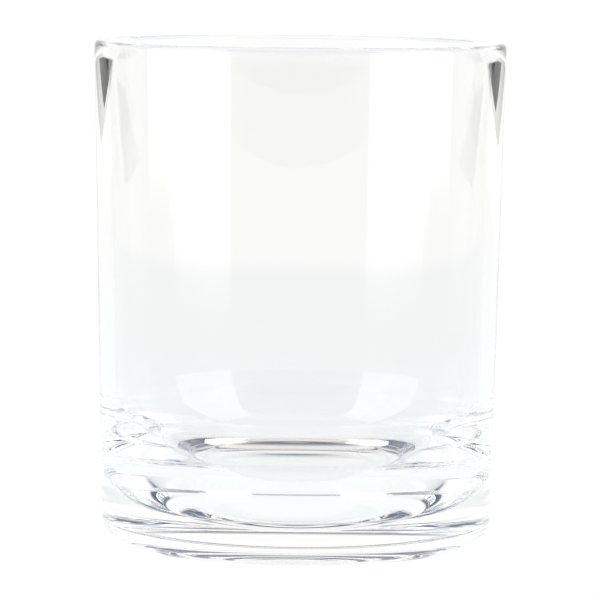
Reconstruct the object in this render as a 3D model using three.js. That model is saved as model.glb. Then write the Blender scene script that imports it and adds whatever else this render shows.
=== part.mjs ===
// Whiskey tumbler: one clear moulded piece, open at the top, standing on its foot ring.
// Millimetres, +Z up, origin at the centre of the foot ring's plane.
import * as THREE from "three";

// Outside
const HEIGHT = 100;
const RIM_OUTER_R = 41; // where the straight outer wall would meet the rim's plane
const FOOT_WALL_R = 38.85; // where the straight outer wall would meet the table
const HEEL_R = 5;

// Wall, thinning evenly from the top of the bowl to the rim
const BOWL_WALL = 3.15;
const RIM_WALL = 2.7;
const RIM_ROUND_R = 0.42 * RIM_WALL;

// Inside of the base: a bowl that narrows to a ring, and a shallow dish inside the ring
const BOWL_TOP = 31;
const RING_R = 19.5;
const RING_Z = 7;
const DISH_Z = 4;
const FULLNESS_AT_WALL = 1.8; // 2 would be an ellipse
const FULLNESS_AT_RING = 1.3; // 1 would be a straight cone

// Shallow recess under the base, inside the foot ring
const RECESS_R = 28;
const RECESS_DEPTH = 1.3;
const RECESS_MOUTH_R = RECESS_R + 0.6 * RECESS_DEPTH;
const RECESS_EDGE_R = 1;

// Facets
const TURN_STEPS = 96;
const RIM_STEPS = 5;
const HEEL_STEPS = 8;
const EDGE_STEPS = 2;
const BOWL_STEPS = 18;
const DISH_STEPS = 6;

const outerRadius = (z) => FOOT_WALL_R + ((RIM_OUTER_R - FOOT_WALL_R) * z) / HEIGHT;

const innerRadius = (z) => {
  const share = (z - BOWL_TOP) / (HEIGHT - BOWL_TOP);
  return outerRadius(z) - BOWL_WALL - (RIM_WALL - BOWL_WALL) * share;
};

// Corners of the half section, from the axis underneath, round the outside, to the bowl's top.
const corners = [
  { at: [0, RECESS_DEPTH] },
  { at: [RECESS_R, RECESS_DEPTH], radius: RECESS_EDGE_R, steps: EDGE_STEPS },
  { at: [RECESS_MOUTH_R, 0], radius: RECESS_EDGE_R, steps: EDGE_STEPS },
  { at: [FOOT_WALL_R, 0], radius: HEEL_R, steps: HEEL_STEPS },
  { at: [RIM_OUTER_R, HEIGHT], radius: RIM_ROUND_R, steps: RIM_STEPS },
  { at: [innerRadius(HEIGHT), HEIGHT], radius: RIM_ROUND_R, steps: RIM_STEPS },
  { at: [innerRadius(BOWL_TOP), BOWL_TOP] },
];

// Points of the arc that rounds the corner between two straight edges.
function roundedCorner(before, corner, after, radius, steps) {
  const toBefore = before.clone().sub(corner).normalize();
  const toAfter = after.clone().sub(corner).normalize();
  const half = Math.acos(toBefore.dot(toAfter)) / 2;
  const middle = toBefore.clone().add(toAfter).normalize();
  const centre = middle.clone().multiplyScalar(radius / Math.sin(half)).add(corner);
  const start = toBefore.clone().multiplyScalar(radius / Math.tan(half)).add(corner).sub(centre);
  const end = toAfter.clone().multiplyScalar(radius / Math.tan(half)).add(corner).sub(centre);
  const turn = Math.atan2(start.x * end.y - start.y * end.x, start.dot(end));
  const points = [];
  for (let i = 0; i <= steps; i += 1) {
    const arm = start.clone().rotateAround(new THREE.Vector2(0, 0), (turn * i) / steps);
    points.push(arm.add(centre));
  }
  return points;
}

// The inside's turn from wall to ring: a quarter of a superellipse with its own fullness at each end.
function bowl() {
  const across = innerRadius(BOWL_TOP) - RING_R;
  const drop = BOWL_TOP - RING_Z;
  const points = [];
  for (let i = 1; i < BOWL_STEPS; i += 1) {
    const angle = ((Math.PI / 2) * i) / BOWL_STEPS;
    const r = RING_R + across * Math.cos(angle) ** (2 / FULLNESS_AT_RING);
    const z = BOWL_TOP - drop * Math.sin(angle) ** (2 / FULLNESS_AT_WALL);
    points.push(new THREE.Vector2(r, z));
  }
  return points;
}

// The floor inside the ring: an arc of a circle from the ring down to the middle.
function dish() {
  const drop = RING_Z - DISH_Z;
  const radius = (RING_R ** 2 + drop ** 2) / (2 * drop);
  const widest = Math.asin(RING_R / radius);
  const points = [];
  for (let i = 0; i <= DISH_STEPS; i += 1) {
    const angle = widest * (1 - i / DISH_STEPS);
    points.push(new THREE.Vector2(radius * Math.sin(angle), DISH_Z + radius * (1 - Math.cos(angle))));
  }
  return points;
}

function halfSection() {
  const at = corners.map((corner) => new THREE.Vector2(...corner.at));
  const outside = corners.flatMap((corner, i) =>
    corner.radius
      ? roundedCorner(at[i - 1], at[i], at[i + 1], corner.radius, corner.steps)
      : [at[i]],
  );
  return [...outside, ...bowl(), ...dish()];
}

const glass = new THREE.MeshStandardMaterial({ color: 0xeef3f2, roughness: 0.03, metalness: 0 });
const turned = new THREE.LatheGeometry(halfSection(), TURN_STEPS);
turned.rotateX(Math.PI / 2);

const tumbler = new THREE.Mesh(turned, glass);
tumbler.name = "tumbler_body";

const part = new THREE.Group();
part.name = "whiskey_tumbler";
part.add(tumbler);

export default part;
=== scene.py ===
import math

import bpy
import numpy as np
from mathutils import Matrix, Vector


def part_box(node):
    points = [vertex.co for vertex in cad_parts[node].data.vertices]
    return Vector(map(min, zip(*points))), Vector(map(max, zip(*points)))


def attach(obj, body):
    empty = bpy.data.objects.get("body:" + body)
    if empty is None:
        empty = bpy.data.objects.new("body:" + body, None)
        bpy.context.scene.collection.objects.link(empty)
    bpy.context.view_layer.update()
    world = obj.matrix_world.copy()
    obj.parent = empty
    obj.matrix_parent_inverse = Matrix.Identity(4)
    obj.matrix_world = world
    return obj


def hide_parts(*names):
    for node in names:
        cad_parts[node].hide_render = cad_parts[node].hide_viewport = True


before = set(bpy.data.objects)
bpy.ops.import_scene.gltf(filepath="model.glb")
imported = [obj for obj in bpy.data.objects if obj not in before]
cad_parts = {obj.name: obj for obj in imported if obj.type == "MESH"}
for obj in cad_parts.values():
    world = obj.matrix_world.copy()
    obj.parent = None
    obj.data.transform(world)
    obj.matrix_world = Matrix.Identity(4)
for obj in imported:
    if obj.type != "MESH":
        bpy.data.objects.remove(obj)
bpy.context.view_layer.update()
scene = bpy.context.scene


# ---- Tumbler body -------------------------------------------------------------------------------
# One clear moulded cup: a straight wall with a slight flare, a rounded rim and heel, and a thick
# base. It was pressed in one shot, so the wall, the base and the rim run into each other with no
# join. The punch left a bowl that narrows to a ring, and the mould left a flat recess underneath.

low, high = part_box("tumbler_body")
HEIGHT = high[2] - low[2]
RIM_RADIUS = 0.041  # where the straight outer wall would meet the rim's plane
FOOT_WALL_RADIUS = 0.03885  # where the straight outer wall would meet the table
HEEL_RADIUS = 0.005
RIM_WALL = 0.0027
RIM_ROUND = 0.42 * RIM_WALL
BOWL_WALL = 0.00315  # wall thickness where the bowl starts
BOWL_TOP = 0.031
BOWL_FULLNESS = (1.3, 1.8)  # at the ring and at the wall: 1 is a straight cone, 2 an ellipse
RING_RADIUS = 0.0195
RING_Z = 0.007
DISH_Z = 0.004
RECESS_RADIUS = 0.028
RECESS_DEPTH = 0.0013
RECESS_MOUTH_RADIUS = RECESS_RADIUS + 0.6 * RECESS_DEPTH
RECESS_EDGE = 0.001
AROUND = 288


def rounded(before, corner, after, radius, steps):
    """The arc of this radius that touches both sides of a corner, from the first side to the second."""
    before, corner, after = (np.asarray(p, float) for p in (before, corner, after))
    u = (before - corner) / np.linalg.norm(before - corner)
    v = (after - corner) / np.linalg.norm(after - corner)
    half = math.acos(u @ v) / 2
    centre = corner + (u + v) / np.linalg.norm(u + v) * radius / math.sin(half)
    start = corner + u * radius / math.tan(half) - centre
    end = corner + v * radius / math.tan(half) - centre
    turn = math.atan2(start[0] * end[1] - start[1] * end[0], start @ end)
    angle = np.linspace(0, turn, steps + 1)[:, None]
    return centre + np.cos(angle) * start + np.sin(angle) * np.array([-start[1], start[0]])


def straight(start, end, longest=0.0025):
    """Evenly spaced points between two ends, without the ends, no further apart than the longest step."""
    start, end = np.asarray(start, float), np.asarray(end, float)
    steps = max(1, math.ceil(np.linalg.norm(end - start) / longest))
    return start + (end - start) * np.arange(1, steps)[:, None] / steps


def outer_radius(z):
    """Radius of the straight outer wall at a height."""
    return FOOT_WALL_RADIUS + (RIM_RADIUS - FOOT_WALL_RADIUS) * z / HEIGHT


def inner_radius(z):
    """Radius of the straight inner wall at a height, where the wall thins evenly towards the rim."""
    share = (z - BOWL_TOP) / (HEIGHT - BOWL_TOP)
    return outer_radius(z) - (BOWL_WALL + (RIM_WALL - BOWL_WALL) * share)


def bowl(steps):
    """The inside's turn from wall to ring: a quarter of a superellipse, with its own power at each end."""
    angle = np.linspace(0, math.pi / 2, steps + 1)
    at_ring, at_wall = BOWL_FULLNESS
    across = inner_radius(BOWL_TOP) - RING_RADIUS
    return np.column_stack([
        RING_RADIUS + across * np.abs(np.cos(angle)) ** (2 / at_ring),
        BOWL_TOP - (BOWL_TOP - RING_Z) * np.sin(angle) ** (2 / at_wall),
    ])


def dish(steps):
    """The floor inside the ring: a shallow arc of a circle from the ring down to the middle."""
    drop = RING_Z - DISH_Z
    radius = (RING_RADIUS**2 + drop**2) / (2 * drop)
    angle = np.linspace(math.asin(RING_RADIUS / radius), 0, steps + 1)[1:]
    return np.column_stack([radius * np.sin(angle), DISH_Z + radius * (1 - np.cos(angle))])


under_centre = (0, RECESS_DEPTH)
recess_top = (RECESS_RADIUS, RECESS_DEPTH)
recess_mouth = (RECESS_MOUTH_RADIUS, 0)
foot = (FOOT_WALL_RADIUS, 0)
rim_outside = (RIM_RADIUS, HEIGHT)
rim_inside = (inner_radius(HEIGHT), HEIGHT)
bowl_start = (inner_radius(BOWL_TOP), BOWL_TOP)

runs = [
    np.array([under_centre], float),
    rounded(under_centre, recess_top, recess_mouth, RECESS_EDGE, 8),
    rounded(recess_top, recess_mouth, foot, RECESS_EDGE, 8),
    rounded(recess_mouth, foot, rim_outside, HEEL_RADIUS, 24),
    rounded(foot, rim_outside, rim_inside, RIM_ROUND, 12),
    rounded(rim_outside, rim_inside, bowl_start, RIM_ROUND, 12),
    bowl(72),
    dish(20),
]
joined = [runs[0]]
for run in runs[1:]:
    joined += [straight(joined[-1][-1], run[0]), run]
profile = np.vstack(joined)


def spun(profile, around):
    """The closed solid swept by a half section that starts and ends on the axis.

    Vertex (ring i, step j) lies at the profile's radius i and height i, turned by j full-circle parts.
    Each ring is joined to the next by quads, and the first and last rings to a pole by triangles.
    """
    rings = profile[1:-1]
    turn = np.arange(around) * 2 * math.pi / around
    x = rings[:, :1] * np.cos(turn)
    y = rings[:, :1] * np.sin(turn)
    z = np.repeat(rings[:, 1:], around, axis=1)
    points = np.stack([x, y, z], axis=-1).reshape(-1, 3)
    poles = np.array([[0, 0, profile[0, 1]], [0, 0, profile[-1, 1]]])
    here = np.arange(around)
    there = (here + 1) % around
    first = np.arange(len(rings) - 1)[:, None] * around
    quads = np.stack([first + here, first + there, first + around + there, first + around + here], axis=-1)
    last_ring = (len(rings) - 1) * around
    bottom = np.stack([np.full(around, len(points)), there, here], axis=-1)
    top = np.stack([np.full(around, len(points) + 1), last_ring + here, last_ring + there], axis=-1)
    faces = quads.reshape(-1, 4).tolist() + bottom.tolist() + top.tolist()
    return np.vstack([points, poles]), faces


points, faces = spun(profile, AROUND)
body_mesh = bpy.data.meshes.new("tumbler_glass")
body_mesh.from_pydata(points.tolist(), [], faces)
body_mesh.shade_smooth()
body_mesh.update()
body = bpy.data.objects.new("tumbler_glass", body_mesh)
scene.collection.objects.link(body)

# Clear, faintly cool material, smooth as the mould left it. Slow waves from the mould bend what is
# seen through it a little.
GLASS_TINT = (0.93, 0.935, 0.935, 1)
GLASS_IOR = 1.5
WAVE_SCALE = 45.0
WAVE_HEIGHT = 0.00002
WAVE_STRENGTH = 0.3

glass = bpy.data.materials.new("clear_glass")
glass.use_nodes = True
nodes, links = glass.node_tree.nodes, glass.node_tree.links
shader = nodes["Principled BSDF"]
shader.inputs["Base Color"].default_value = GLASS_TINT
shader.inputs["Transmission Weight"].default_value = 1.0
shader.inputs["IOR"].default_value = GLASS_IOR
shader.inputs["Roughness"].default_value = 0.0

coordinates = nodes.new("ShaderNodeTexCoord")
wave = nodes.new("ShaderNodeTexNoise")
wave.inputs["Scale"].default_value = WAVE_SCALE
wave.inputs["Detail"].default_value = 1.0
links.new(coordinates.outputs["Object"], wave.inputs["Vector"])
bump = nodes.new("ShaderNodeBump")
bump.inputs["Strength"].default_value = WAVE_STRENGTH
bump.inputs["Distance"].default_value = WAVE_HEIGHT
links.new(wave.outputs["Fac"], bump.inputs["Height"])
links.new(bump.outputs["Normal"], shader.inputs["Normal"])
body_mesh.materials.append(glass)

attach(body, "root")
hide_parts("tumbler_body")


# ---- Floor --------------------------------------------------------------------------------------
# A pale floor that glows by itself. Its colour is painted light: a painted cool shade near the
# tumbler, neutral further back, and brighter painted light where it meets the sweep.
FLOOR_HALF = 6.0
FLOOR_DROP = 0.0001  # keeps the table just clear of the foot
# Painted light in the floor's colour: a cool painted shade near the tumbler, a neutral middle, and
# brighter painted light at the back.
FLOOR_NEAR_PAINTED_SHADE = (1.03, 1.05, 1.06)
FLOOR_MIDDLE = (1.03, 1.03, 1.025)
FLOOR_FAR_PAINTED_LIGHT = (1.10, 1.09, 1.07)
MIDDLE_FROM, MIDDLE_TO = 0.15, 0.45
FAR_FROM, FAR_TO = 0.56, 0.64


def staged_sheet(name, corners, material):
    """A flat four-cornered sheet that belongs to the stage, not to the tumbler."""
    mesh = bpy.data.meshes.new(name)
    mesh.from_pydata([tuple(corner) for corner in corners], [], [(0, 1, 2, 3)])
    mesh.materials.append(material)
    sheet = bpy.data.objects.new(name, mesh)
    scene.collection.objects.link(sheet)
    return sheet


def ramp(value, start, end):
    """A smooth rise from 0 at start to 1 at end."""
    node = nodes.new("ShaderNodeMapRange")
    node.interpolation_type = "SMOOTHSTEP"
    links.new(value, node.inputs["Value"])
    node.inputs["From Min"].default_value = start
    node.inputs["From Max"].default_value = end
    return node.outputs["Result"]


def blended(share, first, second):
    """The first colour where share is 0, the second where it is 1."""
    node = nodes.new("ShaderNodeMix")
    node.data_type = "RGBA"
    links.new(share, node.inputs["Factor"])
    for name, colour in (("A", first), ("B", second)):
        if isinstance(colour, tuple):
            node.inputs[name].default_value = (*colour, 1)
        else:
            links.new(colour, node.inputs[name])
    return node.outputs["Result"]


painted_light_floor = bpy.data.materials.new("floor_painted_light")
painted_light_floor.use_nodes = True
nodes, links = painted_light_floor.node_tree.nodes, painted_light_floor.node_tree.links
nodes.clear()
coordinates = nodes.new("ShaderNodeTexCoord")
split = nodes.new("ShaderNodeSeparateXYZ")
links.new(coordinates.outputs["Object"], split.inputs[0])
depth = split.outputs["Y"]
# The painted shade near the tumbler gives way to the neutral middle, then to brighter painted light, with
# distance back along the table.
painted_floor_tone = blended(ramp(depth, MIDDLE_FROM, MIDDLE_TO), FLOOR_NEAR_PAINTED_SHADE, FLOOR_MIDDLE)
painted_floor_tone = blended(ramp(depth, FAR_FROM, FAR_TO), painted_floor_tone, FLOOR_FAR_PAINTED_LIGHT)
glow = nodes.new("ShaderNodeEmission")
links.new(painted_floor_tone, glow.inputs["Color"])
output = nodes.new("ShaderNodeOutputMaterial")
links.new(glow.outputs[0], output.inputs["Surface"])

outline = ((-1, -1), (1, -1), (1, 1), (-1, 1))
staged_sheet("floor", [(x * FLOOR_HALF, y * FLOOR_HALF, low[2] - FLOOR_DROP) for x, y in outline], painted_light_floor)


# ---- Dark cards ---------------------------------------------------------------------------------
# Two sheets of near-black card lie on the table behind the tumbler, out to each side. They aren't
# seen directly, only bent through the edges of the wall, where they draw the dark inner outline.
CARD_X = (0.62, 1.5)
CARD_Y = (1.02, 2.15)
CARD_LIFT = 0.001
CARD_DARK = (0.015, 0.015, 0.02)
CARD_LESS_DARK = (0.02, 0.02, 0.025)
FIBRE_SCALE = 300.0

near_black = bpy.data.materials.new("near_black_card")
near_black.use_nodes = True
nodes, links = near_black.node_tree.nodes, near_black.node_tree.links
shader = nodes["Principled BSDF"]
shader.inputs["Roughness"].default_value = 0.9
fibres = nodes.new("ShaderNodeTexNoise")
fibres.inputs["Scale"].default_value = FIBRE_SCALE
links.new(blended(fibres.outputs["Fac"], CARD_DARK, CARD_LESS_DARK), shader.inputs["Base Color"])

for side, name in ((-1, "card_left"), (1, "card_right")):
    near, far = CARD_Y
    inner, outer = (side * x for x in CARD_X)
    outline = ((inner, near), (outer, near), (outer, far), (inner, far))
    card = staged_sheet(name, [(x, y, low[2] + CARD_LIFT) for x, y in outline], near_black)
    card.visible_camera = False


# ---- Studio light -------------------------------------------------------------------------------
# A white sweep behind, paler sides, a dim room on the camera's side with dark upper walls all
# round, and a bright ceiling. Colours go by direction: azimuth in degrees away from the camera's
# side, and elevation in degrees.
BACK = (1.10, 1.09, 1.07)
SIDE = (0.95, 0.96, 0.98)
FRONT = (0.04, 0.06, 0.12)
UPPER_WALL = (0.10, 0.13, 0.22)
CEILING = (1.04, 0.99, 0.92)
SIDE_FROM, SIDE_TO = 20, 60
BACK_FROM, BACK_TO = 105, 125
UPPER_WALL_FROM, UPPER_WALL_TO = 22, 34
CEILING_FROM, CEILING_TO = 50, 60

world = bpy.data.worlds.new("studio")
scene.world = world
world.use_nodes = True
nodes, links = world.node_tree.nodes, world.node_tree.links
nodes.clear()


def maths(operation, *values):
    """One Math node on numbers or sockets, as its output socket."""
    node = nodes.new("ShaderNodeMath")
    node.operation = operation
    for socket, value in zip(node.inputs, values):
        if isinstance(value, (int, float)):
            socket.default_value = value
        else:
            links.new(value, socket)
    return node.outputs[0]


direction = nodes.new("ShaderNodeTexCoord")
split = nodes.new("ShaderNodeSeparateXYZ")
links.new(direction.outputs["Generated"], split.inputs[0])
elevation = maths("MULTIPLY", maths("ARCSINE", split.outputs["Z"]), math.degrees(1))
sideways = maths("ABSOLUTE", split.outputs["X"])
frontward = maths("MULTIPLY", split.outputs["Y"], -1.0)
azimuth = maths("MULTIPLY", maths("ARCTAN2", sideways, frontward), math.degrees(1))

sky = blended(ramp(azimuth, SIDE_FROM, SIDE_TO), FRONT, SIDE)
sky = blended(ramp(azimuth, BACK_FROM, BACK_TO), sky, BACK)
sky = blended(ramp(elevation, UPPER_WALL_FROM, UPPER_WALL_TO), sky, UPPER_WALL)
sky = blended(ramp(elevation, CEILING_FROM, CEILING_TO), sky, CEILING)
background = nodes.new("ShaderNodeBackground")
links.new(sky, background.inputs["Color"])
output = nodes.new("ShaderNodeOutputWorld")
links.new(background.outputs[0], output.inputs["Surface"])

# One tall softbox stands on the table at each side of the camera: a plain glowing cloth whose
# lower edge is feathered.
SOFTBOX_DISTANCE = 0.57
SOFTBOX_WIDTH = 0.475
SOFTBOX_HEIGHT = 0.8
SOFTBOX_AZIMUTH = math.radians(68.4)
SOFTBOX_BRIGHTNESS = 2.6
SOFTBOX_FADE = (0.002, 0.035)  # heights between which the lower edge comes up to full brightness

cloth = bpy.data.materials.new("softbox_cloth")
cloth.use_nodes = True
nodes, links = cloth.node_tree.nodes, cloth.node_tree.links
nodes.clear()
coordinates = nodes.new("ShaderNodeTexCoord")
split = nodes.new("ShaderNodeSeparateXYZ")
links.new(coordinates.outputs["Object"], split.inputs[0])
glow = nodes.new("ShaderNodeEmission")
glow.inputs["Strength"].default_value = SOFTBOX_BRIGHTNESS
clear = nodes.new("ShaderNodeBsdfTransparent")
edge = nodes.new("ShaderNodeMixShader")
links.new(ramp(split.outputs["Z"], *SOFTBOX_FADE), edge.inputs[0])
links.new(clear.outputs[0], edge.inputs[1])
links.new(glow.outputs[0], edge.inputs[2])
output = nodes.new("ShaderNodeOutputMaterial")
links.new(edge.outputs[0], output.inputs["Surface"])

for side, name in ((-1, "softbox_left"), (1, "softbox_right")):
    middle = Vector((side * math.sin(SOFTBOX_AZIMUTH), -math.cos(SOFTBOX_AZIMUTH), 0)) * SOFTBOX_DISTANCE
    along = Vector((math.cos(SOFTBOX_AZIMUTH), side * math.sin(SOFTBOX_AZIMUTH), 0)) * SOFTBOX_WIDTH / 2
    lift = Vector((0, 0, low[2] + SOFTBOX_HEIGHT))
    outline = (middle - along, middle + along, middle + along + lift, middle - along + lift)
    softbox = staged_sheet(name, outline, cloth)
    softbox.visible_camera = False

# Light runs round inside the wall and the rim many times before it leaves, so bounces are generous.
BOUNCES = 96
scene.view_settings.view_transform = "Standard"
scene.view_settings.look = "None"
scene.cycles.max_bounces = BOUNCES
scene.cycles.transmission_bounces = BOUNCES
scene.cycles.glossy_bounces = BOUNCES
scene.cycles.sample_clamp_indirect = 0
scene.cycles.blur_glossy = 0


# ---- Camera -------------------------------------------------------------------------------------
# Just above the rim, level with the middle of the cup, turned very slightly.
CAMERA_DISTANCE = 0.85
CAMERA_HEIGHT = 0.127
CAMERA_SIDEWAYS = 0.0004
AIM_HEIGHT = 0.0483
ROLL = math.radians(0.58)
FRAME_WIDTH = 0.11988  # how much of the scene the view takes in, measured at the tumbler
SENSOR_WIDTH = 36

aim = Vector((CAMERA_SIDEWAYS, 0, low[2] + AIM_HEIGHT))
place = Vector((CAMERA_SIDEWAYS, -CAMERA_DISTANCE, low[2] + CAMERA_HEIGHT))
lens = bpy.data.cameras.new("camera")
lens.sensor_width = SENSOR_WIDTH
lens.lens = SENSOR_WIDTH * (aim - place).length / FRAME_WIDTH
camera = bpy.data.objects.new("camera", lens)
facing = (aim - place).to_track_quat("-Z", "Y").to_matrix().to_4x4()
camera.matrix_world = Matrix.Translation(place) @ facing @ Matrix.Rotation(ROLL, 4, "Z")
scene.collection.objects.link(camera)
scene.camera = camera
